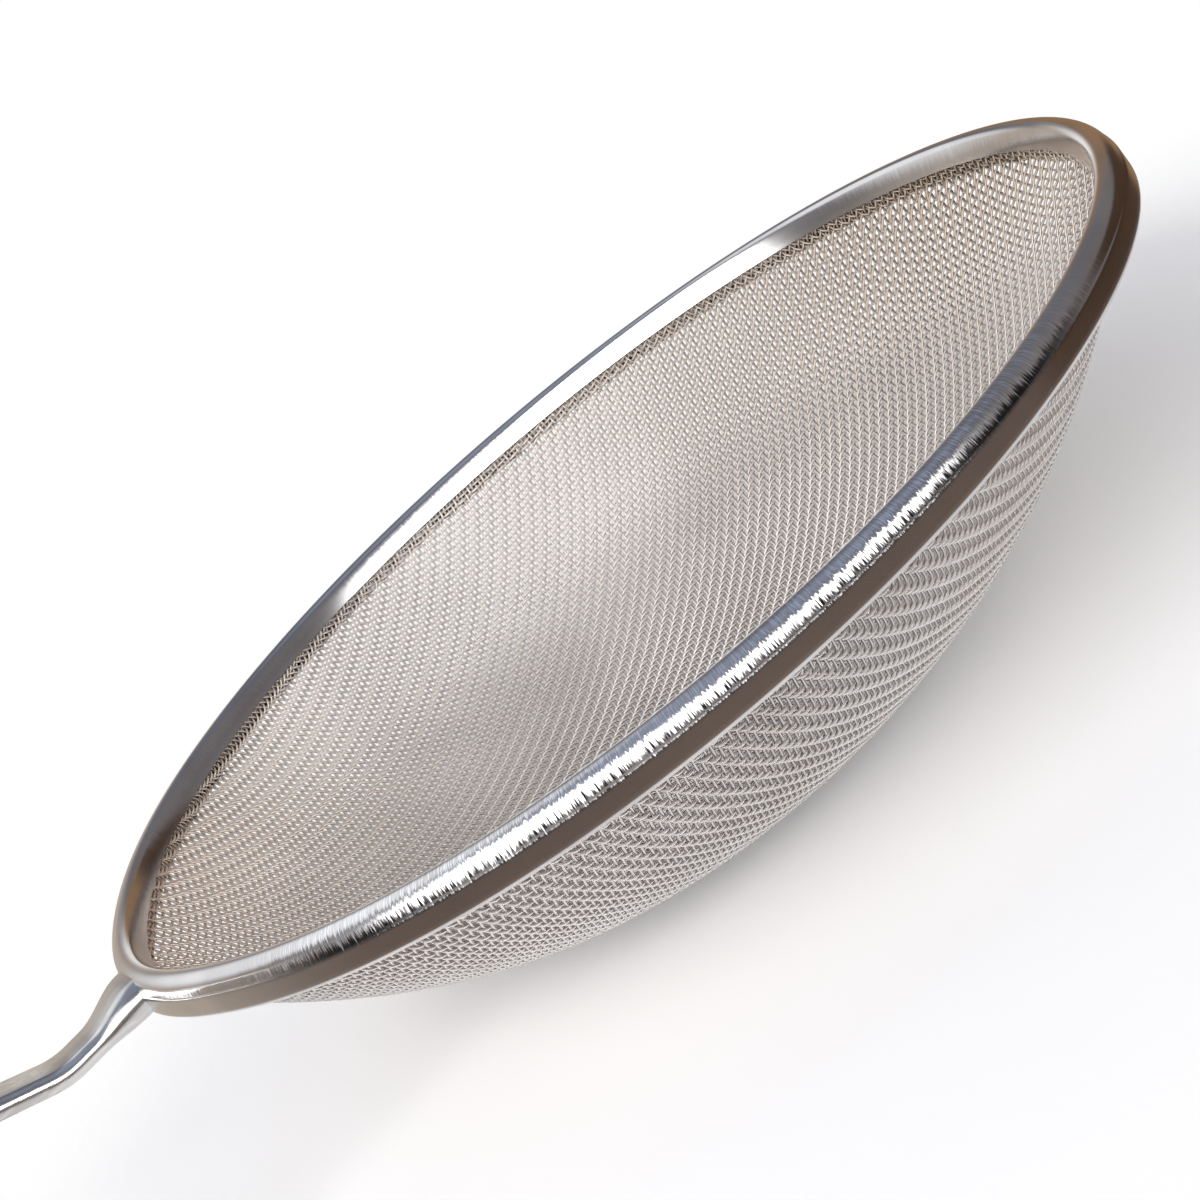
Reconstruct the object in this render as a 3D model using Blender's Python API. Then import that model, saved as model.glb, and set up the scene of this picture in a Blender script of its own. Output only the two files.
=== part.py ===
"""Mesh strainer: a dome of woven wire cloth, a folded rim band and a welded flat handle.

Origin at the middle of the bowl's flat bottom, where the strainer rests.
+Z is up through the mouth of the bowl, and the handle runs along +X.
"""

import math

import bmesh
import bpy
from mathutils import Vector
from mathutils.geometry import delaunay_2d_cdt

MM = 0.001

# Whole object
RIM_RADIUS = 100.0 * MM          # outermost edge of the band
GAP = 0.3 * MM                   # clearance between neighbouring pieces
ROUND_STEPS = 80                 # facets round the bowl
SHARP_ANGLE = 35.0               # edges that turn more than this show as edges
TOUCHING = 0.01 * MM             # points nearer than this are one point

# Wire cloth
CLOTH_THICKNESS = 0.7 * MM       # two crossing wires
CLOTH_DROP = 40.7 * MM           # from the hem of the band to the bottom of the bowl
CLOTH_ROUNDNESS = 2.9            # power of the dome's profile: 2 is a parabola, more is flatter
FLAT_RADIUS = 10.0 * MM          # flat on the bottom
FLAT_STEPS = 16
OPENINGS_ACROSS = 12             # the weave is drawn coarser: each bar stands for several wires
WIRE_SHARE = 0.4                 # bar in each step of the grid, as wire is in a step of the weave
PLAIN_EDGE = 3.7 * MM            # closed cloth between the hem of the band and the openings
WARP_BEARING = 73.0              # degrees from the handle, in plan
WEFT_BEARING = 171.0
CLOTH_SHADE = (0.62, 0.59, 0.57, 1.0)

# Folded band
STRIP = 0.5 * MM                 # sheet thickness
BAND_HEIGHT = 6.8 * MM
LEG_LENGTH = 3.2 * MM            # inner leg, which leans in as it goes down
LEG_TURN = 10.0                  # degrees that the leg bows to the upright
LEG_LAP = 0.5 * MM               # how far the cloth's edge reaches up behind the leg
CORNER_RADIUS = 1.5 * MM         # bend from the arch to the inner leg
CORNER_TURN = 52.0
ARCH_RADIUS = 2.3 * MM           # rounded top
ARCH_LEAN = 14.0                 # degrees of the arch on the inner side of its crest
ARCH_FALL = 74.0                 # slope of the arch where its steep side starts
SIDE_RUN = 1.0 * MM              # steep side, from the arch to the crease
CREASE_RADIUS = 0.25 * MM
CREASE_TURN = 15.0               # degrees that the crease bends back outwards
SHOULDER_RADIUS = 1.2 * MM
HEM_RADIUS = 0.8 * MM            # roll that turns the skirt in to the cloth
CORE_WIRE = 2.0 * MM             # ring inside the arch
CORE_SIDES = 8
LEG_STEPS = 2
CORNER_STEPS = 3
ARCH_STEPS = 5
CREASE_STEPS = 1
SHOULDER_STEPS = 2
HEM_STEPS = 3

# The rim is drawn out a little where the handle is welded on
DRAW = 2.0 * MM
DRAW_SPREAD = 15.0               # degrees to each side

# Handle
NECK_WIDTH = 10.0 * MM
NECK_THICKNESS = 3.2 * MM
NECK_DROP = 4.1 * MM             # from the top of the rim to the neck's centre line
ROOT_WIDTH = 13.0 * MM
ROOT_HEIGHT = 5.8 * MM
ROOT_LENGTH = 9.0 * MM           # over which the root fairs into the neck
NECK_LENGTH = 12.0 * MM          # level run before the bend
RISE_ANGLE = 22.0
RISE_RADIUS = 14.0 * MM
RISE_LENGTH = 8.0 * MM
GRIP_ANGLE = 7.0
GRIP_BEND_RADIUS = 40.0 * MM
GRIP_LENGTH = 128.0 * MM
GRIP_WIDTH = 21.0 * MM
TAPER_LENGTH = 70.0 * MM         # over which the neck widens to the grip
SLOT_WIDTH = 9.0 * MM
SLOT_LENGTH = 17.0 * MM
SLOT_FROM_END = 7.0 * MM
SLOT_STEPS = 16
SIDE_STEPS = 6                   # facets on each rounded edge of the bar
RUN_STEPS = 8                    # along the neck, and along the grip
BEND_STEPS = 4
END_STEPS = 6
END_TURN = 80.0                  # degrees of the round end, before its small flat tip

RIM_TOP = CLOTH_DROP + BAND_HEIGHT


def clear_scene():
    for item in list(bpy.data.objects):
        bpy.data.objects.remove(item, do_unlink=True)


def steel(name, colour, roughness):
    """A stainless finish."""
    material = bpy.data.materials.new(name)
    material.use_nodes = True
    shader = material.node_tree.nodes["Principled BSDF"]
    shader.inputs["Base Color"].default_value = colour
    shader.inputs["Metallic"].default_value = 1.0
    shader.inputs["Roughness"].default_value = roughness
    material.diffuse_color = colour
    return material


def add_piece(name, mesh_data, material):
    """Puts finished geometry into the scene as one named piece."""
    mesh = bpy.data.meshes.new(name)
    bmesh.ops.recalc_face_normals(mesh_data, faces=mesh_data.faces)
    mesh_data.to_mesh(mesh)
    mesh_data.free()
    mesh.shade_smooth()
    mesh.set_sharp_from_angle(angle=math.radians(SHARP_ANGLE))
    mesh.materials.append(material)
    piece = bpy.data.objects.new(name, mesh)
    bpy.context.collection.objects.link(piece)
    return piece


def drawn_out(radius, angle):
    """Radius after the rim is drawn towards the handle; the bottom of the bowl isn't moved."""
    share = min(1.0, max(0.0, radius / CLOTH_INSIDE * 2 - 1))
    turned = math.degrees(math.atan2(math.sin(angle), math.cos(angle)))
    return radius + DRAW * share ** 2 * math.exp(-((turned / DRAW_SPREAD) ** 2))


def revolve(outline, steps=ROUND_STEPS):
    """A ring from a closed outline of (radius, height) points; a radius of 0 closes at the axis."""
    work = bmesh.new()
    rings = []
    for radius, height in outline:
        if radius == 0:
            rings.append([work.verts.new((0, 0, height))])
            continue
        ring = []
        for step in range(steps):
            angle = math.tau * step / steps
            reach = drawn_out(radius, angle)
            ring.append(work.verts.new((reach * math.cos(angle), reach * math.sin(angle), height)))
        rings.append(ring)
    for lower, upper in zip(rings, rings[1:] + rings[:1]):
        for step in range(steps):
            after = (step + 1) % steps
            corners = [lower[step % len(lower)], lower[after % len(lower)]]
            corners += [upper[after % len(upper)], upper[step % len(upper)]]
            corners = list(dict.fromkeys(corners))
            if len(corners) > 2:
                work.faces.new(corners)
    return work


class Bend:
    """A centre line laid out the way a strip is formed: straight runs and bends."""

    def __init__(self, start, heading):
        self.points = [Vector(start)]
        self.headings = [math.radians(heading)]

    def run(self, length, steps=1):
        for _ in range(steps):
            heading = self.headings[-1]
            along = Vector((math.cos(heading), math.sin(heading)))
            self.points.append(self.points[-1] + along * length / steps)
            self.headings.append(heading)

    def turn(self, radius, degrees, steps):
        """Positive degrees turn left."""
        part = math.radians(degrees) / steps
        chord = 2 * radius * math.sin(abs(part) / 2)
        for _ in range(steps):
            middle = self.headings[-1] + part / 2
            self.points.append(self.points[-1] + Vector((math.cos(middle), math.sin(middle))) * chord)
            self.headings.append(self.headings[-1] + part)

    def offset(self, distance):
        """Points to the left of the centre line."""
        side = []
        for point, heading in zip(self.points, self.headings):
            side.append(point + Vector((-math.sin(heading), math.cos(heading))) * distance)
        return side


def inner_side(crest_radius):
    """The strip from the crest of the arch inwards, over the corner and down the leg."""
    half = STRIP / 2
    line = Bend((crest_radius, RIM_TOP - half), 180)
    line.turn(ARCH_RADIUS - half, ARCH_LEAN, 1)
    line.turn(CORNER_RADIUS - half, CORNER_TURN, CORNER_STEPS)
    line.turn(LEG_LENGTH / math.radians(LEG_TURN), LEG_TURN, LEG_STEPS)
    return line


def outer_side(crest_radius):
    """The strip from the crest outwards: arch, steep side, crease, shoulder and upright skirt."""
    half = STRIP / 2
    line = Bend((crest_radius, RIM_TOP - half), 0)
    line.turn(ARCH_RADIUS - half, -ARCH_FALL, ARCH_STEPS)
    line.run(SIDE_RUN)
    line.turn(CREASE_RADIUS + half, CREASE_TURN, CREASE_STEPS)
    line.turn(SHOULDER_RADIUS - half, ARCH_FALL - CREASE_TURN - 90, SHOULDER_STEPS)
    line.run(line.points[-1].y - (RIM_TOP - BAND_HEIGHT) - HEM_RADIUS)
    return line


CREST_RADIUS = RIM_RADIUS - STRIP / 2 - outer_side(0).points[-1].x
LEG_END = inner_side(CREST_RADIUS).offset(STRIP / 2)[-1]
LEG_SLOPE = math.tan(math.radians(90 - ARCH_LEAN - CORNER_TURN))
CLOTH_INSIDE = LEG_END.x + LEG_LAP * LEG_SLOPE + GAP
CLOTH_OUTSIDE = CLOTH_INSIDE + CLOTH_THICKNESS
CLOTH_EDGE = LEG_END.y + LEG_LAP
CORE_RADIUS = CLOTH_OUTSIDE + GAP + CORE_WIRE / 2
CORE_TOP = RIM_TOP - STRIP - 2 * GAP


def make_rim_band(material):
    """One sheet strip folded over the cloth's edge: leg, arch, crease, skirt and rolled hem."""
    half = STRIP / 2
    inner = inner_side(CREST_RADIUS)
    outer = outer_side(CREST_RADIUS)
    outer.turn(HEM_RADIUS - half, -90, HEM_STEPS)
    outer.run(outer.points[-1].x - CLOTH_OUTSIDE - GAP)
    top_side = inner.offset(-half)[::-1] + outer.offset(half)[1:]
    under_side = inner.offset(half)[::-1] + outer.offset(-half)[1:]
    return add_piece("rim_band", revolve(top_side + under_side[::-1]), material)


def make_rim_core_wire(material):
    """The round wire ring that the arch is bent over and the crease holds."""
    radius = CORE_WIRE / 2
    outline = []
    for side in range(CORE_SIDES):
        angle = math.tau * side / CORE_SIDES
        height = CORE_TOP - radius + radius * math.sin(angle)
        outline.append((CORE_RADIUS + radius * math.cos(angle), height))
    return add_piece("rim_core_wire", revolve(outline), material)


def dome_profile(radius):
    """Height and slope of the cloth's outer side: flat in the middle and steeper to the rim."""
    if radius <= FLAT_RADIUS + TOUCHING:
        return 0.0, 0.0
    flat = (FLAT_RADIUS / CLOTH_OUTSIDE) ** CLOTH_ROUNDNESS
    fall = CLOTH_DROP / (1 - flat)
    share = radius / CLOTH_OUTSIDE
    slope = fall * CLOTH_ROUNDNESS * share ** (CLOTH_ROUNDNESS - 1) / CLOTH_OUTSIDE
    return fall * (share ** CLOTH_ROUNDNESS - flat), slope


def drawn_cloth(radius, depth):
    """Where a point of the flat blank lies on the bowl, at a depth in from the outer side."""
    if radius > CLOTH_OUTSIDE - TOUCHING:
        return CLOTH_OUTSIDE - depth, CLOTH_DROP + radius - CLOTH_OUTSIDE
    height, slope = dome_profile(radius)
    lean = math.atan(slope)
    return radius - depth * math.sin(lean), height + depth * math.cos(lean)


def circle(radius, steps):
    points = []
    for step in range(steps):
        angle = math.tau * step / steps
        points.append(Vector((radius * math.cos(angle), radius * math.sin(angle))))
    return points


def weave_openings():
    """Outlines in plan of the openings between the bars, cut off at the plain edge."""
    edge = CLOTH_OUTSIDE - PLAIN_EDGE
    step = 2 * edge / OPENINGS_ACROSS
    warp = Vector((math.cos(math.radians(WARP_BEARING)), math.sin(math.radians(WARP_BEARING)))) * step
    weft = Vector((math.cos(math.radians(WEFT_BEARING)), math.sin(math.radians(WEFT_BEARING)))) * step
    low, middle, high = WIRE_SHARE / 2, 0.5, 1 - WIRE_SHARE / 2
    around = [(low, low), (middle, low), (high, low), (high, middle)]
    around += [(high, high), (middle, high), (low, high), (low, middle)]
    outlines = []
    for column in range(-OPENINGS_ACROSS, OPENINGS_ACROSS):
        for row in range(-OPENINGS_ACROSS, OPENINGS_ACROSS):
            if (warp * (column + middle) + weft * (row + middle)).length > edge:
                continue
            outline = [warp * (column + across) + weft * (row + along) for across, along in around]
            outlines.append([point * min(1.0, edge / point.length) for point in outline])
    return outlines


def flat_blank():
    """The disc of cloth before it is drawn: its points, and its faces between edge and openings."""
    blank_radius = CLOTH_OUTSIDE + CLOTH_EDGE - CLOTH_DROP
    points = []
    edges = []
    for radius, steps in ((FLAT_RADIUS, FLAT_STEPS), (CLOTH_OUTSIDE, ROUND_STEPS), (blank_radius, ROUND_STEPS)):
        first = len(points)
        points += circle(radius, steps)
        edges += [(first + step, first + (step + 1) % steps) for step in range(steps)]
    openings = []
    for outline in weave_openings():
        openings.append(list(range(len(points), len(points) + len(outline))))
        points += outline
    points, _, faces, _, _, covered = delaunay_2d_cdt(points, edges, openings, 0, TOUCHING)
    return points, [face for face, opening in zip(faces, covered) if not opening]


def make_mesh_bowl(material):
    """The cloth, drawn from a flat disc to a dome, with its edge upright in the fold of the band."""
    points, faces = flat_blank()
    work = bmesh.new()
    outer = []
    inner = []
    for skin, depth in ((outer, 0.0), (inner, CLOTH_THICKNESS)):
        for point in points:
            radius, height = drawn_cloth(point.length, depth)
            angle = math.atan2(point.y, point.x)
            reach = drawn_out(radius, angle)
            skin.append(work.verts.new((reach * math.cos(angle), reach * math.sin(angle), height)))
    sides = set()
    for face in faces:
        work.faces.new([outer[corner] for corner in face])
        work.faces.new([inner[corner] for corner in face])
        sides.update(zip(face, face[1:] + face[:1]))
    for near, far in sorted(sides):
        if (far, near) not in sides:
            work.faces.new((outer[near], outer[far], inner[far], inner[near]))
    for corner in list(work.verts):
        if not corner.link_faces:
            work.verts.remove(corner)
    return add_piece("mesh_bowl", work, material)


def bar_section(width, thickness):
    """Flat bar with fully rounded edges, as (across, up) points."""
    round_radius = min(width, thickness) / 2
    points = []
    for side in (1, -1):
        for step in range(SIDE_STEPS + 1):
            angle = math.pi * (step / SIDE_STEPS - 0.5)
            across = side * (width / 2 - round_radius + round_radius * math.cos(angle))
            points.append((across, side * thickness / 2 * math.sin(angle)))
    return points


def smooth_share(value):
    """Eases from 0 to 1."""
    value = min(1.0, max(0.0, value))
    return value * value * (3 - 2 * value)


def handle_line():
    """Centre line of the bar as (outward, height): level neck, rise, then the long grip."""
    line = Bend((CREST_RADIUS + DRAW, RIM_TOP - NECK_DROP), 0)
    line.run(RIM_RADIUS - CREST_RADIUS + NECK_LENGTH, RUN_STEPS)
    line.turn(RISE_RADIUS, RISE_ANGLE, BEND_STEPS)
    line.run(RISE_LENGTH)
    line.turn(GRIP_BEND_RADIUS, GRIP_ANGLE - RISE_ANGLE, BEND_STEPS)
    line.run(GRIP_LENGTH - GRIP_WIDTH / 2, RUN_STEPS)
    round_start = len(line.points) - 1
    reached = 0.0
    for step in range(1, END_STEPS + 1):
        across = math.sin(math.radians(END_TURN) * step / END_STEPS) * GRIP_WIDTH / 2
        line.run(across - reached)
        reached = across
    return line, round_start


def make_handle(material):
    """The welded bar: faired root, slim neck, upward bend and a flat grip with a hanging slot."""
    line, round_start = handle_line()
    work = bmesh.new()
    rings = []
    wall = RIM_RADIUS + DRAW
    for index, (point, heading) in enumerate(zip(line.points, line.headings)):
        fair = 1 - smooth_share((point.x - wall) / ROOT_LENGTH)
        widen = smooth_share((point.x - wall - NECK_LENGTH) / TAPER_LENGTH)
        width = NECK_WIDTH + (ROOT_WIDTH - NECK_WIDTH) * fair + (GRIP_WIDTH - NECK_WIDTH) * widen
        thickness = NECK_THICKNESS + (ROOT_HEIGHT - NECK_THICKNESS) * fair
        if index > round_start:
            past = (point - line.points[round_start]).length / (GRIP_WIDTH / 2)
            width *= math.sqrt(max(0.0, 1 - past * past))
        lift = (NECK_DROP - BAND_HEIGHT / 2) * fair
        ring = []
        for across, up in bar_section(width, thickness):
            outward = point.x - math.sin(heading) * up
            height = point.y + math.cos(heading) * up + lift
            ring.append(work.verts.new((outward, across, height)))
        rings.append(ring)
    for near, far in zip(rings, rings[1:]):
        for index in range(len(near)):
            after = (index + 1) % len(near)
            work.faces.new((near[index], near[after], far[after], far[index]))
    work.faces.new(rings[0])
    work.faces.new(rings[-1])
    handle = add_piece("handle", work, material)
    cut(handle, seat_cutter())
    cut(handle, slot_cutter(line))
    return handle


def seat_cutter():
    """The band's outer side plus the clearance, to seat the root on arch, shoulder and skirt."""
    reach = STRIP / 2 + GAP
    inner = inner_side(CREST_RADIUS).offset(-reach)[::-1]
    side = outer_side(CREST_RADIUS).offset(reach)
    crease = slice(ARCH_STEPS + 1, ARCH_STEPS + 1 + CREASE_STEPS)
    del side[crease]
    below = RIM_TOP - BAND_HEIGHT - ROOT_HEIGHT
    outline = [(inner[0].x, below)]
    outline += [tuple(point) for point in inner[1:] + side[1:]]
    outline.append((side[-1].x, below))
    return add_cutter("seat_cutter", revolve(outline))


def slot_cutter(line):
    """A round-ended slot through the grip."""
    end = line.points[-1]
    heading = line.headings[-1]
    middle = SLOT_FROM_END + SLOT_LENGTH / 2
    work = bmesh.new()
    lower = []
    straight = (SLOT_LENGTH - SLOT_WIDTH) / 2
    for step in range(SLOT_STEPS):
        angle = math.tau * (step + 0.5) / SLOT_STEPS
        along = math.copysign(straight, math.cos(angle)) + SLOT_WIDTH / 2 * math.cos(angle)
        lower.append(work.verts.new((along, SLOT_WIDTH / 2 * math.sin(angle), -GRIP_WIDTH)))
    floor = work.faces.new(lower)
    raised = bmesh.ops.extrude_face_region(work, geom=[floor])["geom"]
    corners = [part for part in raised if isinstance(part, bmesh.types.BMVert)]
    bmesh.ops.translate(work, verts=corners, vec=(0, 0, 2 * GRIP_WIDTH))
    cutter = add_cutter("slot_cutter", work)
    cutter.rotation_euler = (0, -heading, 0)
    centre = end - Vector((math.cos(heading), math.sin(heading))) * middle
    cutter.location = (centre.x, 0, centre.y)
    return cutter


def add_cutter(name, work):
    cutter = add_piece(name, work, None)
    cutter.hide_render = True
    cutter.display_type = "WIRE"
    return cutter


def cut(piece, cutter):
    modifier = piece.modifiers.new(cutter.name, "BOOLEAN")
    modifier.operation = "DIFFERENCE"
    modifier.solver = "EXACT"
    modifier.object = cutter


clear_scene()
cloth_steel = steel("woven_steel", CLOTH_SHADE, 0.35)
sheet_steel = steel("polished_steel", (0.66, 0.65, 0.66, 1.0), 0.18)
make_mesh_bowl(cloth_steel)
make_rim_band(sheet_steel)
make_rim_core_wire(steel("drawn_steel", (0.55, 0.54, 0.53, 1.0), 0.4))
make_handle(steel("satin_steel", (0.64, 0.65, 0.68, 1.0), 0.22))
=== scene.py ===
"""Mesh strainer: woven steel cloth in a folded polished band, with a flat handle welded to the rim."""

import math

import bpy
import numpy as np
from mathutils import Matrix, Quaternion, Vector


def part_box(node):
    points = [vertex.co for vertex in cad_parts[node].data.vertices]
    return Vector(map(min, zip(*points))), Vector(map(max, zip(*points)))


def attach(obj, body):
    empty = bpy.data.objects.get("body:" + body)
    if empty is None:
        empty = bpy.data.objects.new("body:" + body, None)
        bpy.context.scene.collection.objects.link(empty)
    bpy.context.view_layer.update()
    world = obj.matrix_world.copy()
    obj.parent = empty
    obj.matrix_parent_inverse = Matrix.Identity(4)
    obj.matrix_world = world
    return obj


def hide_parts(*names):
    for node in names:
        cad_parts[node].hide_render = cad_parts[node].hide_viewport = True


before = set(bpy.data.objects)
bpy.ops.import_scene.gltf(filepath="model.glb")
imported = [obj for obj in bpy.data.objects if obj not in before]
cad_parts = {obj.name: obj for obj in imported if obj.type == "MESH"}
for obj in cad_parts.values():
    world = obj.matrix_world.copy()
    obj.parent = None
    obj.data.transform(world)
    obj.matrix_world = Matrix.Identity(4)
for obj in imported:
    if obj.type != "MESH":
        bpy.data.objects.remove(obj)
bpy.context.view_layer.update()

# Mesh bowl
# One disc of fine stainless wire cloth in a two-over, two-under twill weave, drawn into a dome with a
# nearly flat bottom. Every wire is modelled: it bends over and under its neighbours and follows the dome.

MM = 0.001
CLOTH_DROP = 40.7 * MM
CLOTH_ROUNDNESS = 2.9
CLOTH_MOUTH = 96.2 * MM
CLOTH_LIP = 3.0 * MM
LOW_POINT = (5.1 * MM, -2.2 * MM)
FLAT_RADIUS = 10.0 * MM
WIRE = 0.48 * MM
CROSSING = 0.735 * WIRE
PITCH = 0.95 * MM
TWILL_REPEAT = 4
WARP_BEARING = 73.0
WEFT_BEARING = 171.0
PINCH = 0.24 * MM
PINCH_POWER = 6
WIRE_SIDES = 4
BENDS_PER_CROSSING = 2
FEWEST_POINTS = 4
REACH_MARGIN = 1.1
MOST_TRIANGLES = 185000
WIRE_WELD = 0.002 * MM
DRAW = 2.0 * MM
DRAW_SPREAD = 15.0

# Outward faces of the wires, painted light: the weft lighter than the warp, as a painted highlight.
WARP_CROWN_PAINTED_LIGHT = (0.80, 0.77, 0.75)
WEFT_CROWN_PAINTED_LIGHT = (0.98, 0.95, 0.93)
# Painted light and shade round each wire by which way it faces: painted shade down the flanks, a painted
# highlight on the shoulders and a set level on the inward crown.
WIRE_PAINTED_FLANK_SHADE = (0.13, 0.12, 0.115)
WIRE_SIDE_PAINTED_LIGHT = (0.60, 0.56, 0.52)
WIRE_PAINTED_SHOULDER_HIGHLIGHT = (0.95, 0.89, 0.84)
WIRE_INSIDE_PAINTED_LIGHT = (0.74, 0.69, 0.65)
# Tones inside the bowl towards the two sides along the handle's line: a pale warm tone near the handle, a
# darker brown far from it.
INSIDE_TONE_FAR = (0.46, 0.38, 0.31, 1)
INSIDE_TONE_NEAR = (0.90, 0.75, 0.62, 1)
INSIDE_TONE_ACROSS = (-0.6, 0.6)
INSIDE_TONE_DEPTH = (0.35, 0.6)
STAIN = (0.40, 0.34, 0.29, 1)
STAIN_SCALE = 28.0
STAIN_EDGE = (0.35, 0.7)
STAIN_SHARE = 0.25
GRAIN_SCALE = 2600.0
GRAIN_DEPTH = 0.02 * MM
GRAIN_STRENGTH = 0.25
WIRE_ROUGHNESS = 0.15
GRAIN_DULLING = 0.1
INSIDE_DULLING = 0.5


class Value:
    """An output socket; sums and products of values become Math nodes."""

    def __init__(self, finish, socket):
        self.finish = finish
        self.socket = socket

    def math(self, operation, *values):
        return self.finish.add("ShaderNodeMath", {"operation": operation}, dict(enumerate(values)))

    def __add__(self, other):
        return self.math("ADD", self, other)

    __radd__ = __add__

    def __sub__(self, other):
        return self.math("SUBTRACT", self, other)

    def __rsub__(self, other):
        return self.math("SUBTRACT", other, self)

    def __mul__(self, other):
        return self.math("MULTIPLY", self, other)

    __rmul__ = __mul__

    def __truediv__(self, other):
        return self.math("DIVIDE", self, other)

    def __pow__(self, other):
        return self.math("POWER", self, other)

    def rise(self, start, end):
        """0 below start, 1 above end, smooth between."""
        settings = {"interpolation_type": "SMOOTHSTEP"}
        return self.finish.add("ShaderNodeMapRange", settings, {0: self, 1: start, 2: end})

    def between(self, start, end, soft):
        """1 from start to end, with soft edges."""
        return self.rise(start - soft, start + soft) * (1 - self.rise(end - soft, end + soft))

    def larger(self, other):
        """The larger of the two."""
        return self.math("MAXIMUM", self, other)


class Finish:
    """A material or world being made from nodes."""

    def __init__(self, owner):
        owner.use_nodes = True
        self.owner = owner
        self.tree = owner.node_tree
        self.shader = self.tree.nodes.get("Principled BSDF")

    def add(self, kind, settings=None, inputs=None, output=0):
        """Adds a node: its settings first, then its inputs. Gives one of its outputs."""
        node = self.tree.nodes.new(kind)
        for name, setting in (settings or {}).items():
            if name == "stops":
                ramp = node.color_ramp
                while len(ramp.elements) < len(setting):
                    ramp.elements.new(0.5)
                for element, (position, colour) in zip(ramp.elements, setting):
                    element.position = position
                    element.color = (*colour, 1.0)
            else:
                setattr(node, name, setting)
        for name, value in (inputs or {}).items():
            self.link(node.inputs[name], value)
        return Value(self, node.outputs[output])

    def link(self, socket, value):
        if isinstance(value, Value):
            self.tree.links.new(value.socket, socket)
        else:
            socket.default_value = value

    def mix(self, share, first, second):
        """Colour that goes from first to second as share goes from 0 to 1."""
        inputs = {"Factor": share, 6: first, 7: second}
        return self.add("ShaderNodeMix", {"data_type": "RGBA"}, inputs, 2)

    def place(self):
        return self.add("ShaderNodeTexCoord", output="Object")

    def split(self, vector):
        """The three parts of a vector: east, north and up."""
        east = self.add("ShaderNodeSeparateXYZ", None, {0: vector})
        return [Value(self, output) for output in east.socket.node.outputs]

    def join(self, east, north, up):
        return self.add("ShaderNodeCombineXYZ", None, {0: east, 1: north, 2: up})

    def noise(self, vector, scale, detail=2.0, roughness=0.5):
        inputs = {"Vector": vector, "Scale": scale, "Detail": detail, "Roughness": roughness}
        return self.add("ShaderNodeTexNoise", None, inputs)

    def bump(self, height, strength, distance):
        inputs = {"Height": height, "Strength": strength, "Distance": distance}
        return self.add("ShaderNodeBump", None, inputs)

    def use(self, **sockets):
        """Sets or links sockets of the material's shader."""
        for name, value in sockets.items():
            self.link(self.shader.inputs[name.replace("_", " ")], value)


def drawn_out(radius, angle):
    """Radius after the rim is drawn a little towards the handle."""
    share = np.clip(radius / CLOTH_MOUTH * 2 - 1, 0, 1)
    turned = np.degrees(np.arctan2(np.sin(angle), np.cos(angle)))
    return radius + DRAW * share**2 * np.exp(-((turned / DRAW_SPREAD) ** 2))


def dome(blank):
    """Radius, height and slope of the cloth's outer side, from the radius in the flat blank."""
    flat = (FLAT_RADIUS / CLOTH_MOUTH) ** CLOTH_ROUNDNESS
    rise = CLOTH_DROP / (1 - flat)
    radius = np.minimum(blank, CLOTH_MOUTH)
    share = np.maximum(radius, FLAT_RADIUS) / CLOTH_MOUTH
    height = rise * (share**CLOTH_ROUNDNESS - flat) + blank - radius
    slope = rise * CLOTH_ROUNDNESS * share ** (CLOTH_ROUNDNESS - 1) / CLOTH_MOUTH
    upright = np.clip((blank - CLOTH_MOUTH) / (PITCH / 2), 0, 1)
    lean = np.arctan(np.where(radius > FLAT_RADIUS, slope, 0.0))
    return radius, height, lean + (math.pi / 2 - lean) * upright


def woven_finish(name, outer_shade):
    """Bare drawn wire, with painted shade down its flanks and a painted highlight on its shoulders, set
    by which way each point faces; its outward crown is painted light as well.
    Inside the bowl it is duller, and warmer towards the two sides along the handle's line: a pale warm
    tone at the side near the handle and, more, a darker brown at the side far from it."""
    # Painted shade down the flanks and a painted highlight on the shoulders, by which way the wire faces.
    shades = [
        (0.0, outer_shade),
        (0.34, WIRE_PAINTED_FLANK_SHADE),
        (0.5, WIRE_SIDE_PAINTED_LIGHT),
        (0.66, WIRE_PAINTED_SHOULDER_HIGHLIGHT),
        (1.0, WIRE_INSIDE_PAINTED_LIGHT),
    ]
    finish = Finish(bpy.data.materials.new(name))
    place = finish.place()
    stain = finish.noise(place, STAIN_SCALE, detail=3.0).rise(*STAIN_EDGE)
    grain = finish.noise(place, GRAIN_SCALE)
    inside = finish.add("ShaderNodeAttribute", {"attribute_name": "inside"}, output=2)
    # The painted light and shade by facing, before tone and stains.
    clean = finish.add("ShaderNodeValToRGB", {"stops": shades}, {0: inside})
    to_handle = finish.split(place)[0] / CLOTH_MOUTH
    # A warmer tone inside the bowl towards both sides along the handle's line.
    tone_mask = inside.rise(*INSIDE_TONE_DEPTH) * to_handle * to_handle
    tone_colour = finish.mix(to_handle.rise(*INSIDE_TONE_ACROSS), INSIDE_TONE_FAR, INSIDE_TONE_NEAR)
    # The painted light and shade, with the tone and the stains over it.
    stain_and_painted_light = finish.mix(stain * STAIN_SHARE, finish.mix(tone_mask, clean, tone_colour), STAIN)
    dulling = GRAIN_DULLING * grain + INSIDE_DULLING * inside
    finish.use(Base_Color=stain_and_painted_light, Metallic=1.0, Roughness=WIRE_ROUGHNESS + dulling)
    finish.use(Normal=finish.bump(grain, GRAIN_STRENGTH, GRAIN_DEPTH))
    return finish.owner


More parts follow.
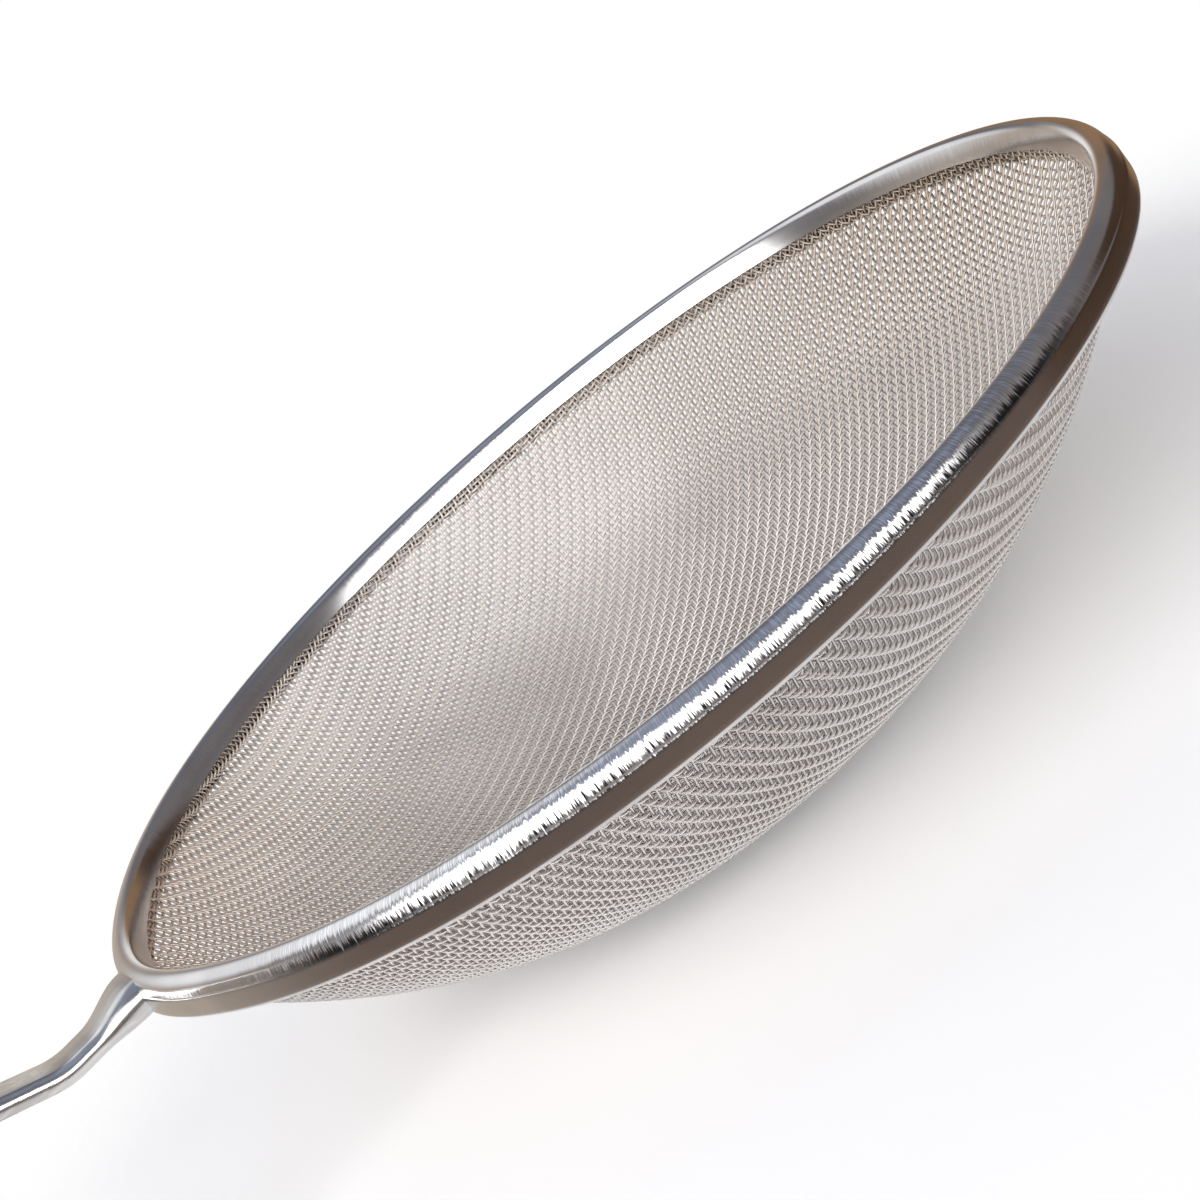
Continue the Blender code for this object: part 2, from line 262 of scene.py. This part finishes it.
def mark_inside(mesh):
    """Gives each point of the wires 1 where it faces into the bowl and 0 where it faces out."""
    place = np.empty(len(mesh.vertices) * 3, np.float32)
    facing = np.empty(len(mesh.vertices) * 3, np.float32)
    mesh.vertices.foreach_get("co", place)
    mesh.vertices.foreach_get("normal", facing)
    place = place.reshape(-1, 3)
    facing = facing.reshape(-1, 3)
    radius = np.hypot(place[:, 0], place[:, 1])
    lean = dome(radius)[2]
    outward = (place[:, 0] * facing[:, 0] + place[:, 1] * facing[:, 1]) / np.maximum(radius, WIRE)
    inside = np.clip(0.5 + facing[:, 2] * np.cos(lean) - outward * np.sin(lean), 0, 1)
    attribute = mesh.attributes.new("inside", "FLOAT", "POINT")
    attribute.data.foreach_set("value", inside.astype(np.float32))


def wires_to_edge():
    """Number of wires from the middle of the cloth to its edge, with some to spare."""
    return int((CLOTH_MOUTH + CLOTH_LIP) / PITCH * REACH_MARGIN)


def one_pitch(bearing):
    """Step east and north of one pitch along a bearing."""
    return np.array([math.cos(math.radians(bearing)), math.sin(math.radians(bearing))]) * PITCH


def wire_points(bearing, other_bearing, number, side):
    """Points along one wire: on the dome, and bent over two and under two of the wires it crosses."""
    reach = wires_to_edge() * BENDS_PER_CROSSING
    count = np.arange(-reach, reach + 1) / BENDS_PER_CROSSING
    plan = count[:, None] * one_pitch(bearing) + number * one_pitch(other_bearing)
    blank = np.hypot(plan[:, 0], plan[:, 1])
    kept = blank < CLOTH_MOUTH + CLOTH_LIP
    if kept.sum() < FEWEST_POINTS:
        return None
    plan, count, blank = plan[kept], count[kept], blank[kept]
    radius, height, lean = dome(blank)
    pinch = PINCH * (radius / CLOTH_MOUTH) ** PINCH_POWER
    wave = side * CROSSING * np.sin(math.tau * (count + number) / TWILL_REPEAT + math.pi / 4)
    lift = CROSSING + WIRE / 2 - pinch + wave
    angle = np.arctan2(plan[:, 1], plan[:, 0])
    outward = drawn_out(radius, angle) - lift * np.sin(lean)
    middle = 1 - (radius / CLOTH_MOUTH) ** 2
    east = outward * np.cos(angle) + middle * LOW_POINT[0]
    north = outward * np.sin(angle) + middle * LOW_POINT[1]
    return np.stack([east, north, height + lift * np.cos(lean)], 1)


def bend_wires(name, group, material):
    """One piece of the cloth: a group of bent wires with closed ends."""
    curve = bpy.data.curves.new(name, "CURVE")
    curve.dimensions = "3D"
    curve.twist_mode = "Z_UP"
    curve.bevel_depth = WIRE / 2
    curve.bevel_resolution = 0
    curve.use_fill_caps = True
    curve.materials.append(material)
    for points in group:
        spline = curve.splines.new("POLY")
        spline.points.add(len(points) - 1)
        padded = np.concatenate([points, np.ones((len(points), 1))], 1)
        spline.points.foreach_set("co", padded.astype(np.float32).ravel())
        spline.use_smooth = True
    wires = bpy.data.objects.new(curve.name, curve)
    bpy.context.collection.objects.link(wires)
    bpy.ops.object.select_all(action="DESELECT")
    wires.select_set(True)
    bpy.context.view_layer.objects.active = wires
    bpy.ops.object.convert(target="MESH")
    bpy.ops.object.mode_set(mode="EDIT")
    bpy.ops.mesh.select_all(action="SELECT")
    bpy.ops.mesh.remove_doubles(threshold=WIRE_WELD)
    bpy.ops.object.mode_set(mode="OBJECT")
    wires.data.shade_smooth()
    mark_inside(wires.data)
    return wires


def weave(name, bearing, other_bearing, side, material):
    """All the wires that run one way, as several pieces that hold a fair number of wires each."""
    reach = wires_to_edge()
    groups = [[]]
    triangles = 0
    for number in range(-reach, reach + 1):
        points = wire_points(bearing, other_bearing, number, side)
        if points is None:
            continue
        added = len(points) * WIRE_SIDES * 2
        if triangles + added > MOST_TRIANGLES:
            groups.append([])
            triangles = 0
        groups[-1].append(points)
        triangles += added
    for index, group in enumerate(groups):
        wires = bend_wires(f"{name}_{index + 1}", group, material)
        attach(wires, "root")
        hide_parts("mesh_bowl")


# Warp and weft differ only in the painted light on their outward faces.
weave("warp_wires", WARP_BEARING, WEFT_BEARING, 1, woven_finish("warp_steel_painted_light", WARP_CROWN_PAINTED_LIGHT))
weave("weft_wires", WEFT_BEARING, WARP_BEARING, -1, woven_finish("weft_steel_painted_light", WEFT_CROWN_PAINTED_LIGHT))

# Rim core wire
# A round wire ring inside the arch of the band, which the strip is bent over. It keeps its shape from
# the CAD part and gets the grain of plain drawn steel here.

CORE_STEEL = (0.5, 0.49, 0.47, 1)
CORE_GRAIN_SCALE = 900.0
CORE_ROUGHNESS = 0.3
CORE_DULLING = 0.3

finish = Finish(bpy.data.materials.new("drawn_steel"))
marks = finish.noise(finish.place(), CORE_GRAIN_SCALE, detail=3.0)
finish.use(Base_Color=CORE_STEEL, Metallic=1.0, Roughness=CORE_ROUGHNESS + CORE_DULLING * marks)
bpy.data.objects["rim_core_wire"].material_slots[0].material = finish.owner

# Rim band
# One strip of polished stainless sheet folded over the edge of the cloth: a leaning leg inside, a round
# arch ground crosswise on top, a fine crease, an upright skirt and a hem rolled in to the cloth.

RIM_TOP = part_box("rim_band")[1].z
STRIP = 0.5 * MM
BAND_HEIGHT = 6.8 * MM
LEG_LENGTH = 3.2 * MM
LEG_TURN = 10.0
CORNER_RADIUS = 1.5 * MM
CORNER_TURN = 52.0
ARCH_RADIUS = 2.3 * MM
ARCH_LEAN = 14.0
ARCH_FALL = 74.0
SIDE_RUN = 1.0 * MM
CREASE_RADIUS = 0.25 * MM
CREASE_TURN = 15.0
SHOULDER_RADIUS = 1.2 * MM
HEM_RADIUS = 0.8 * MM
RIM_RADIUS = 100.0 * MM
CLOTH_GAP = 0.15 * MM
BAND_STEPS = 480
BAND_WELD = 0.005 * MM
BAND_SHARP_EDGE = 50.0

POLISHED = (0.70, 0.68, 0.67, 1)
CLOUDED = (0.60, 0.58, 0.57, 1)
# Painted highlight streaks and painted shade scores on the ground arch.
PAINTED_HIGHLIGHT_STREAK = (0.97, 0.98, 1.0, 1)
PAINTED_SHADE_SCORE = (0.03, 0.026, 0.025, 1)
CLOUD_SCALE = 60.0
CLOUD_EDGE = (0.3, 0.7)
GROUND_FROM = 28.0
GROUND_TO = 110.0
GROUND_FADE = 0.12
GROUND_ELSEWHERE = 0.1
GROUND_FOOT = RIM_TOP - 3.6 * MM
GROUND_FULL = RIM_TOP - 2.8 * MM
MARKS_ROUND_RIM = 100.0
MARKS_ACROSS_RIM = 40.0
FINE_MARKS = 7.5
COARSE_MARKS = 2.8
MARK_ROUGHNESS = 0.6
HIGHLIGHT_STREAK_EDGE = (0.5, 0.62)
HIGHLIGHT_STREAK_SHARE = 0.8
SHADE_SCORES_HALF = RIM_TOP - 2.0 * MM
SHADE_SCORES_THINNING = 190.0
SHADE_SCORE_EDGE = (0.42, 0.58)
SHADE_SCORE_SHARE = 0.97
MARK_TILT = 1.7
BAND_ROUGHNESS = 0.13
CLOUD_DULLING = 0.05
GROUND_DULLING = 0.1


class Bend:
    """A centre line laid out the way a strip is formed: straight runs and bends."""

    def __init__(self, start, heading):
        self.points = [Vector(start)]
        self.headings = [math.radians(heading)]

    def run(self, length, steps=1):
        for _ in range(steps):
            heading = self.headings[-1]
            along = Vector((math.cos(heading), math.sin(heading)))
            self.points.append(self.points[-1] + along * length / steps)
            self.headings.append(heading)

    def turn(self, radius, degrees, steps):
        part = math.radians(degrees) / steps
        chord = 2 * radius * math.sin(abs(part) / 2)
        for _ in range(steps):
            middle = self.headings[-1] + part / 2
            self.points.append(self.points[-1] + Vector((math.cos(middle), math.sin(middle))) * chord)
            self.headings.append(self.headings[-1] + part)

    def offset(self, distance):
        """The same line moved sideways, to the left of its heading."""
        side = []
        for point, heading in zip(self.points, self.headings):
            side.append(point + Vector((-math.sin(heading), math.cos(heading))) * distance)
        return side


def outer_side(crest):
    """The strip's middle from the top of the arch down to the foot of the skirt."""
    half = STRIP / 2
    line = Bend((crest, RIM_TOP - half), 0)
    line.turn(ARCH_RADIUS - half, -ARCH_FALL, steps=14)
    line.run(SIDE_RUN, steps=2)
    line.turn(CREASE_RADIUS + half, CREASE_TURN, steps=4)
    line.turn(SHOULDER_RADIUS - half, ARCH_FALL - CREASE_TURN - 90, steps=7)
    line.run(line.points[-1].y - (RIM_TOP - BAND_HEIGHT) - HEM_RADIUS, steps=4)
    return line


def band_outline():
    """Closed outline of the folded strip as (radius, height)."""
    half = STRIP / 2
    crest = RIM_RADIUS - half - outer_side(0).points[-1].x
    inner = Bend((crest, RIM_TOP - half), 180)
    inner.turn(ARCH_RADIUS - half, ARCH_LEAN, steps=4)
    inner.turn(CORNER_RADIUS - half, CORNER_TURN, steps=8)
    inner.turn(LEG_LENGTH / math.radians(LEG_TURN), LEG_TURN, steps=5)
    outer = outer_side(crest)
    outer.turn(HEM_RADIUS - half, -90, steps=8)
    outer.run(outer.points[-1].x - CLOTH_MOUTH - CLOTH_GAP)
    top_side = inner.offset(-half)[::-1] + outer.offset(half)[1:]
    under_side = inner.offset(half)[::-1] + outer.offset(-half)[1:]
    return top_side + under_side[::-1]


def spin_outline(name, outline, steps):
    """Spins a closed outline once round Z, then draws the ring out towards the handle."""
    mesh = bpy.data.meshes.new(name)
    corners = [(point.x, 0, point.y) for point in outline]
    edges = [(index, (index + 1) % len(corners)) for index in range(len(corners))]
    mesh.from_pydata(corners, edges, [])
    ring = bpy.data.objects.new(name, mesh)
    bpy.context.collection.objects.link(ring)
    bpy.ops.object.select_all(action="DESELECT")
    ring.select_set(True)
    bpy.context.view_layer.objects.active = ring
    bpy.ops.object.mode_set(mode="EDIT")
    bpy.ops.mesh.select_all(action="SELECT")
    bpy.ops.mesh.spin(steps=steps, angle=math.tau, center=(0, 0, 0), axis=(0, 0, 1))
    bpy.ops.mesh.select_all(action="SELECT")
    bpy.ops.mesh.remove_doubles(threshold=BAND_WELD)
    bpy.ops.mesh.normals_make_consistent(inside=False)
    bpy.ops.object.mode_set(mode="OBJECT")
    place = np.empty(len(mesh.vertices) * 3)
    mesh.vertices.foreach_get("co", place)
    place = place.reshape(-1, 3)
    angle = np.arctan2(place[:, 1], place[:, 0])
    radius = drawn_out(np.hypot(place[:, 0], place[:, 1]), angle)
    place[:, 0] = radius * np.cos(angle)
    place[:, 1] = radius * np.sin(angle)
    mesh.vertices.foreach_set("co", place.ravel())
    mesh.shade_smooth()
    mesh.set_sharp_from_angle(angle=math.radians(BAND_SHARP_EDGE))
    return ring


def band_finish():
    """Polished sheet with soft clouding. Along one stretch of the rim beside the handle, grinding marks
    run across the arch and tilt what it mirrors;
    there the colour holds painted highlight streaks, and painted shade as dark scores lower down."""
    finish = Finish(bpy.data.materials.new("polished_steel"))
    place = finish.place()
    east, north, height = finish.split(place)
    angle = east.math("ARCTAN2", north, east)
    radius = (east * east + north * north) ** 0.5
    marks = finish.join(angle * MARKS_ROUND_RIM, radius * MARKS_ACROSS_RIM, height * MARKS_ACROSS_RIM)
    fine = finish.noise(marks, FINE_MARKS, roughness=MARK_ROUGHNESS)
    coarse = finish.noise(marks, COARSE_MARKS, roughness=MARK_ROUGHNESS)
    both = fine * 0.5 + coarse * 0.5
    stretch = angle.between(math.radians(GROUND_FROM), math.radians(GROUND_TO), GROUND_FADE)
    ground = GROUND_ELSEWHERE + (1 - GROUND_ELSEWHERE) * stretch
    arch = ground * height.rise(GROUND_FOOT, GROUND_FULL)
    cloud = finish.noise(place, CLOUD_SCALE, detail=3.0)
    # Where the painted shade scores are absent.
    clean = (both + (height - SHADE_SCORES_HALF) * SHADE_SCORES_THINNING).rise(*SHADE_SCORE_EDGE)
    plain = finish.mix(cloud.rise(*CLOUD_EDGE), POLISHED, CLOUDED)
    # Painted highlight: bright streaks in the arch's colour.
    highlight_streaked = finish.mix(arch * fine.rise(*HIGHLIGHT_STREAK_EDGE) * HIGHLIGHT_STREAK_SHARE, plain, PAINTED_HIGHLIGHT_STREAK)
    # Painted shade: dark scores in the arch's colour, lower down.
    shade_scored = finish.mix(arch * (1 - clean) * SHADE_SCORE_SHARE, highlight_streaked, PAINTED_SHADE_SCORE)
    dulling = CLOUD_DULLING * cloud + GROUND_DULLING * arch * coarse
    finish.use(Base_Color=shade_scored, Metallic=1.0, Roughness=BAND_ROUGHNESS + dulling)
    facing = finish.add("ShaderNodeNewGeometry", output="Normal")
    tilt = finish.join(0.0, 0.0, arch * (both - 0.5) * MARK_TILT)
    tilted = finish.add("ShaderNodeVectorMath", {"operation": "ADD"}, {0: facing, 1: tilt})
    finish.use(Normal=finish.add("ShaderNodeVectorMath", {"operation": "NORMALIZE"}, {0: tilted}))
    return finish.owner


rim_band = spin_outline("rim_band_sheet", band_outline(), BAND_STEPS)
rim_band.data.materials.append(band_finish())
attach(rim_band, "root")
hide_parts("rim_band")

# Handle
# One flat stainless bar with rounded edges. Its root is faired into the band and welded, the neck
# bends upwards, and the bar widens into a grip with a slot to hang it by.

NECK_WIDTH = 10.0 * MM
NECK_THICKNESS = 3.2 * MM
NECK_DROP = 4.1 * MM
ROOT_START = 98.3 * MM
ROOT_WIDTH = 13.0 * MM
ROOT_HEIGHT = 5.8 * MM
ROOT_LENGTH = 9.0 * MM
NECK_LENGTH = 12.0 * MM
RISE_ANGLE = 22.0
RISE_RADIUS = 14.0 * MM
RISE_LENGTH = 8.0 * MM
GRIP_ANGLE = 7.0
GRIP_BEND_RADIUS = 40.0 * MM
GRIP_LENGTH = 128.0 * MM
GRIP_WIDTH = 21.0 * MM
TAPER_LENGTH = 70.0 * MM
SLOT_WIDTH = 9.0 * MM
SLOT_LENGTH = 17.0 * MM
SLOT_FROM_END = 7.0 * MM
SLOT_SIDES = 64
SIDE_STEPS = 14
END_STEPS = 14
END_TURN = 80.0
HANDLE_WELD = 0.005 * MM
HANDLE_SHARP_EDGE = 40.0

SATIN_BRIGHT = (0.84, 0.83, 0.81, 1)
SATIN_DULL = (0.58, 0.57, 0.56, 1)
SATIN_CLOUD_SCALE = 45.0
SATIN_CLOUD_SHARE = 0.6
SATIN_EDGE = (0.35, 0.62)
LENGTHWISE = (20.0, 600.0, 600.0)
LENGTHWISE_SCALE = 3.0
LENGTHWISE_DEPTH = 0.1 * MM
LENGTHWISE_STRENGTH = 0.2
SATIN_ROUGHNESS = 0.12
LENGTHWISE_DULLING = 0.16


def ease(value):
    """0 up to 0, 1 from 1 on, smooth between."""
    value = min(1.0, max(0.0, value))
    return value * value * (3 - 2 * value)


def bar_section(width, thickness):
    """Flat bar with fully rounded edges, as (across, up) points."""
    round_radius = min(width, thickness) / 2
    points = []
    for side in (1, -1):
        for step in range(SIDE_STEPS + 1):
            angle = math.pi * (step / SIDE_STEPS - 0.5)
            across = side * (width / 2 - round_radius + round_radius * math.cos(angle))
            points.append((across, side * thickness / 2 * math.sin(angle)))
    return points


def handle_rings():
    """Sections of the bar from its root to its round end, and the line that they stand on."""
    wall = RIM_RADIUS + DRAW
    line = Bend((ROOT_START, RIM_TOP - NECK_DROP), 0)
    line.run(wall - ROOT_START + NECK_LENGTH, steps=30)
    line.turn(RISE_RADIUS, RISE_ANGLE, steps=12)
    line.run(RISE_LENGTH, steps=6)
    line.turn(GRIP_BEND_RADIUS, GRIP_ANGLE - RISE_ANGLE, steps=12)
    line.run(GRIP_LENGTH - GRIP_WIDTH / 2, steps=60)
    round_start = len(line.points) - 1
    for step in range(1, END_STEPS + 1):
        before = math.sin(math.radians(END_TURN) * (step - 1) / END_STEPS)
        after = math.sin(math.radians(END_TURN) * step / END_STEPS)
        line.run(GRIP_WIDTH / 2 * (after - before))
    rings = []
    for index, (point, heading) in enumerate(zip(line.points, line.headings)):
        fair = 1 - ease((point.x - wall) / ROOT_LENGTH)
        widen = ease((point.x - wall - NECK_LENGTH) / TAPER_LENGTH)
        width = NECK_WIDTH + (ROOT_WIDTH - NECK_WIDTH) * fair + (GRIP_WIDTH - NECK_WIDTH) * widen
        thickness = NECK_THICKNESS + (ROOT_HEIGHT - NECK_THICKNESS) * fair
        if index > round_start:
            past = (point - line.points[round_start]).length / (GRIP_WIDTH / 2)
            width *= math.sqrt(max(0.0, 1 - past * past))
        lift = (NECK_DROP - BAND_HEIGHT / 2) * fair
        ring = []
        for across, up in bar_section(width, thickness):
            outward = point.x - math.sin(heading) * up
            ring.append((outward, across, point.y + math.cos(heading) * up + lift))
        rings.append(ring)
    return rings, line


def slot_cutter(line):
    """A block with round ends that stands through the grip where the slot goes."""
    heading = line.headings[-1]
    middle = SLOT_FROM_END + SLOT_LENGTH / 2
    centre = line.points[-1] - Vector((math.cos(heading), math.sin(heading))) * middle
    bpy.ops.mesh.primitive_cylinder_add(vertices=SLOT_SIDES, radius=SLOT_WIDTH / 2, depth=GRIP_WIDTH)
    cutter = bpy.context.object
    for corner in cutter.data.vertices:
        corner.co.x += math.copysign((SLOT_LENGTH - SLOT_WIDTH) / 2, corner.co.x)
    cutter.rotation_euler = (0, -heading, 0)
    cutter.location = (centre.x, 0, centre.y)
    return cutter


def make_handle():
    """Skins the bar's sections, closes both ends and cuts the slot."""
    rings, line = handle_rings()
    size = len(rings[0])
    corners = [corner for ring in rings for corner in ring]
    faces = []
    for ring in range(len(rings) - 1):
        for index in range(size):
            after = (index + 1) % size
            low, high = ring * size, (ring + 1) * size
            faces.append((low + index, low + after, high + after, high + index))
    faces.append(tuple(range(size))[::-1])
    faces.append(tuple(range(len(corners) - size, len(corners))))
    mesh = bpy.data.meshes.new("handle_bar")
    mesh.from_pydata(corners, [], faces)
    handle = bpy.data.objects.new("handle_bar", mesh)
    bpy.context.collection.objects.link(handle)
    bpy.ops.object.select_all(action="DESELECT")
    cutter = slot_cutter(line)
    bpy.ops.object.select_all(action="DESELECT")
    handle.select_set(True)
    bpy.context.view_layer.objects.active = handle
    bpy.ops.object.mode_set(mode="EDIT")
    bpy.ops.mesh.select_all(action="SELECT")
    bpy.ops.mesh.remove_doubles(threshold=HANDLE_WELD)
    bpy.ops.mesh.normals_make_consistent(inside=False)
    bpy.ops.object.mode_set(mode="OBJECT")
    slot = handle.modifiers.new("slot", "BOOLEAN")
    slot.operation = "DIFFERENCE"
    slot.object = cutter
    bpy.ops.object.modifier_apply(modifier=slot.name)
    bpy.data.objects.remove(cutter, do_unlink=True)
    handle.data.shade_smooth()
    handle.data.set_sharp_from_angle(angle=math.radians(HANDLE_SHARP_EDGE))
    return handle


def handle_finish():
    """Polished bar with soft clouding and faint lengthwise marks."""
    finish = Finish(bpy.data.materials.new("satin_steel"))
    place = finish.place()
    drawn = finish.add("ShaderNodeMapping", None, {"Vector": place, "Scale": LENGTHWISE})
    marks = finish.noise(drawn, LENGTHWISE_SCALE, detail=3.0)
    cloud = finish.noise(place, SATIN_CLOUD_SCALE, detail=3.0)
    mixed = cloud * SATIN_CLOUD_SHARE + marks * (1 - SATIN_CLOUD_SHARE)
    colour = finish.mix(mixed.rise(*SATIN_EDGE), SATIN_BRIGHT, SATIN_DULL)
    roughness = SATIN_ROUGHNESS + LENGTHWISE_DULLING * marks
    finish.use(Base_Color=colour, Metallic=1.0, Roughness=roughness)
    finish.use(Normal=finish.bump(marks, LENGTHWISE_STRENGTH, LENGTHWISE_DEPTH))
    return finish.owner


handle = make_handle()
handle.data.materials.append(handle_finish())
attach(handle, "root")
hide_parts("handle")

# Floor
# A pale matt disc under the strainer, which takes its shadow. It turns clear towards its edge, so that it
# ends in the white all round.

FLOOR_RADIUS = 200.0 * MM
FLOOR_GAP = 0.4 * MM
FLOOR_SIDES = 96
FLOOR_PAINT = (0.94, 0.92, 0.90, 1)
FLOOR_FADE = (0.6 * FLOOR_RADIUS, 0.95 * FLOOR_RADIUS)

bpy.ops.object.select_all(action="DESELECT")
bpy.ops.mesh.primitive_circle_add(vertices=FLOOR_SIDES, radius=FLOOR_RADIUS, fill_type="NGON")
floor = bpy.context.object
floor.name = "floor"
floor.location = (0, 0, -FLOOR_GAP)
finish = Finish(bpy.data.materials.new("pale_floor"))
finish.tree.nodes.remove(finish.shader)
east, north, up = finish.split(finish.place())
edge = ((east * east + north * north) ** 0.5).rise(*FLOOR_FADE)
matt = finish.add("ShaderNodeBsdfDiffuse", None, {"Color": FLOOR_PAINT})
clear = finish.add("ShaderNodeBsdfTransparent")
surface = finish.add("ShaderNodeMixShader", None, {0: edge, 1: matt, 2: clear})
finish.link(finish.tree.nodes["Material Output"].inputs["Surface"], surface)
floor.data.materials.append(finish.owner)

# Camera
# At the photograph's viewing angle: a little above the rim and close to it, with the strainer tilted in
# the picture. The rim's middle lies off the picture's middle, so the camera is turned that much aside.

CAMERA_BEARING = 71.0
CAMERA_ELEVATION = 14.307
CAMERA_ROLL = 40.239
CAMERA_DISTANCE = 361.2 * MM
CAMERA_NEAR = 10.0 * MM
FOCAL_PIXELS = 2245.1
PICTURE = 1200.0
RIM_CENTRE_IN_PICTURE = (581.13, 513.56)
SENSOR = 36.0

bearing = math.radians(CAMERA_BEARING)
elevation = math.radians(CAMERA_ELEVATION)
level = Vector((math.cos(bearing), math.sin(bearing), 0))
back = level * math.cos(elevation) + Vector((0, 0, math.sin(elevation)))
aim = (-back).to_track_quat("-Z", "Y")
across = (RIM_CENTRE_IN_PICTURE[0] - PICTURE / 2) / FOCAL_PIXELS
above = (PICTURE / 2 - RIM_CENTRE_IN_PICTURE[1]) / FOCAL_PIXELS
ahead = Vector((0, 0, -1)).rotation_difference(Vector((across, above, -1)))
roll = Quaternion((0, 0, 1), -math.radians(CAMERA_ROLL))
camera_data = bpy.data.cameras.new("camera")
camera_data.lens = FOCAL_PIXELS / PICTURE * SENSOR
camera_data.sensor_width = SENSOR
camera_data.clip_start = CAMERA_NEAR
camera = bpy.data.objects.new("camera", camera_data)
camera.rotation_mode = "QUATERNION"
camera.rotation_quaternion = aim @ roll @ ahead.inverted()
camera.location = Vector((0, 0, RIM_TOP)) + back * CAMERA_DISTANCE
bpy.context.collection.objects.link(camera)
bpy.context.scene.camera = camera

# Studio
# White seen directly, with a pale wall behind the strainer. Round it stands a dim room: a wide window in
# front, a soft lamp high on the left, a pale brown wall on the left, a dark corner on the right and a
# wooden shelf beside the pale wall. Sides are bearings from the camera's, in degrees. Heights are sines.

ROOM_STOPS = [
    (0.0, (0.42, 0.34, 0.27)),
    (0.15, (0.36, 0.28, 0.22)),
    (0.33, (0.15, 0.108, 0.088)),
    (0.46, (0.20, 0.18, 0.18)),
    (0.70, (0.20, 0.19, 0.20)),
    (0.88, (0.17, 0.18, 0.22)),
    (0.95, (0.27, 0.31, 0.41)),
    (1.0, (0.32, 0.36, 0.47)),
]
CORNER = (0.075, 0.044, 0.028, 1)
CORNER_SIDES = (78.0, 150.0)
CORNER_FOOT = (-0.45, -0.3)
CORNER_TOP = (-0.12, 0.0)
CORNER_CLIMB = 0.33
CORNER_SOFTNESS = 0.15
SHELF = (0.33, 0.20, 0.11, 1)
SHELF_SIDES = (148.0, 172.0)
SHELF_HEIGHTS = (-0.4, 0.3)
SHELF_SOFTNESS = (0.08, 0.1)
LEFT_WALL = (0.56, 0.49, 0.42, 1)
LEFT_WALL_EDGE = (-135.0, -75.0)
LEFT_WALL_HEIGHTS = (-0.5, 0.3)
LEFT_WALL_SOFTNESS = 0.15
WINDOW = (5.2, 5.24, 5.3, 1)
WINDOW_SIDES = (-70.0, 50.0)
WINDOW_SILL = (0.08, 0.18)
WINDOW_HEAD = (0.54, 0.64)
HEAD_FALL_RIGHT = 0.2
HEAD_RISE_LEFT = 0.45
WINDOW_SOFTNESS = 0.12
LAMP = (1.1, 1.13, 1.18, 1)
LAMP_BEARING = -130.0
LAMP_ELEVATION = 40.0
LAMP_EDGE = (0.8, 0.97)
WHITE = (1, 1, 1, 1)
PALE_WALL_EDGE = (166.0, 178.0)
PALE_WALL_HEIGHTS = (-0.1, 0.28)
PALE_WALL_SOFTNESS = 0.1

world = bpy.data.worlds.new("studio")
bpy.context.scene.world = world
finish = Finish(world)
east, north, up = finish.split(finish.add("ShaderNodeTexCoord", output="Generated"))
front = east * math.cos(bearing) + north * math.sin(bearing)
side = north * math.cos(bearing) - east * math.sin(bearing)
turned = side.math("ARCTAN2", side, front)


def between_sides(sides, soft):
    """1 between two bearings, with soft edges."""
    return turned.between(math.radians(sides[0]), math.radians(sides[1]), soft)


room = finish.add("ShaderNodeValToRGB", {"stops": ROOM_STOPS}, {0: 0.5 + 0.5 * up})
corner_top = (up + CORNER_CLIMB * front).rise(*CORNER_TOP)
corner = between_sides(CORNER_SIDES, CORNER_SOFTNESS) * up.rise(*CORNER_FOOT) * (1 - corner_top)
room = finish.mix(corner, room, CORNER)
shelf = between_sides(SHELF_SIDES, SHELF_SOFTNESS[0]) * up.between(*SHELF_HEIGHTS, SHELF_SOFTNESS[1])
room = finish.mix(shelf, room, SHELF)
past_left_wall = turned.rise(math.radians(LEFT_WALL_EDGE[0]), math.radians(LEFT_WALL_EDGE[1]))
left_wall = (1 - past_left_wall) * up.between(*LEFT_WALL_HEIGHTS, LEFT_WALL_SOFTNESS)
room = finish.mix(left_wall, room, LEFT_WALL)

right = side.larger(0.0)
window_head = (up + HEAD_FALL_RIGHT * right + HEAD_RISE_LEFT * (side - right)).rise(*WINDOW_HEAD)
window = between_sides(WINDOW_SIDES, WINDOW_SOFTNESS) * up.rise(*WINDOW_SILL) * (1 - window_head)
room = finish.mix(window, room, WINDOW)

lamp_level = math.cos(math.radians(LAMP_ELEVATION))
lamp_front = lamp_level * math.cos(math.radians(LAMP_BEARING))
lamp_side = lamp_level * math.sin(math.radians(LAMP_BEARING))
to_lamp = front * lamp_front + side * lamp_side + up * math.sin(math.radians(LAMP_ELEVATION))
room = finish.mix(to_lamp.rise(*LAMP_EDGE), room, LAMP)

aside = turned.math("ABSOLUTE", turned)
behind = aside.rise(math.radians(PALE_WALL_EDGE[0]), math.radians(PALE_WALL_EDGE[1]))
wall = behind * up.between(*PALE_WALL_HEIGHTS, PALE_WALL_SOFTNESS)
seen = finish.add("ShaderNodeLightPath", output="Is Camera Ray")
mirrored = finish.add("ShaderNodeLightPath", output="Is Glossy Ray")
through = finish.add("ShaderNodeLightPath", output="Is Transmission Ray")
white = seen.larger(wall * mirrored.larger(through))
finish.link(finish.tree.nodes["Background"].inputs["Color"], finish.mix(white, room, WHITE))

bpy.context.scene.view_settings.view_transform = "Standard"
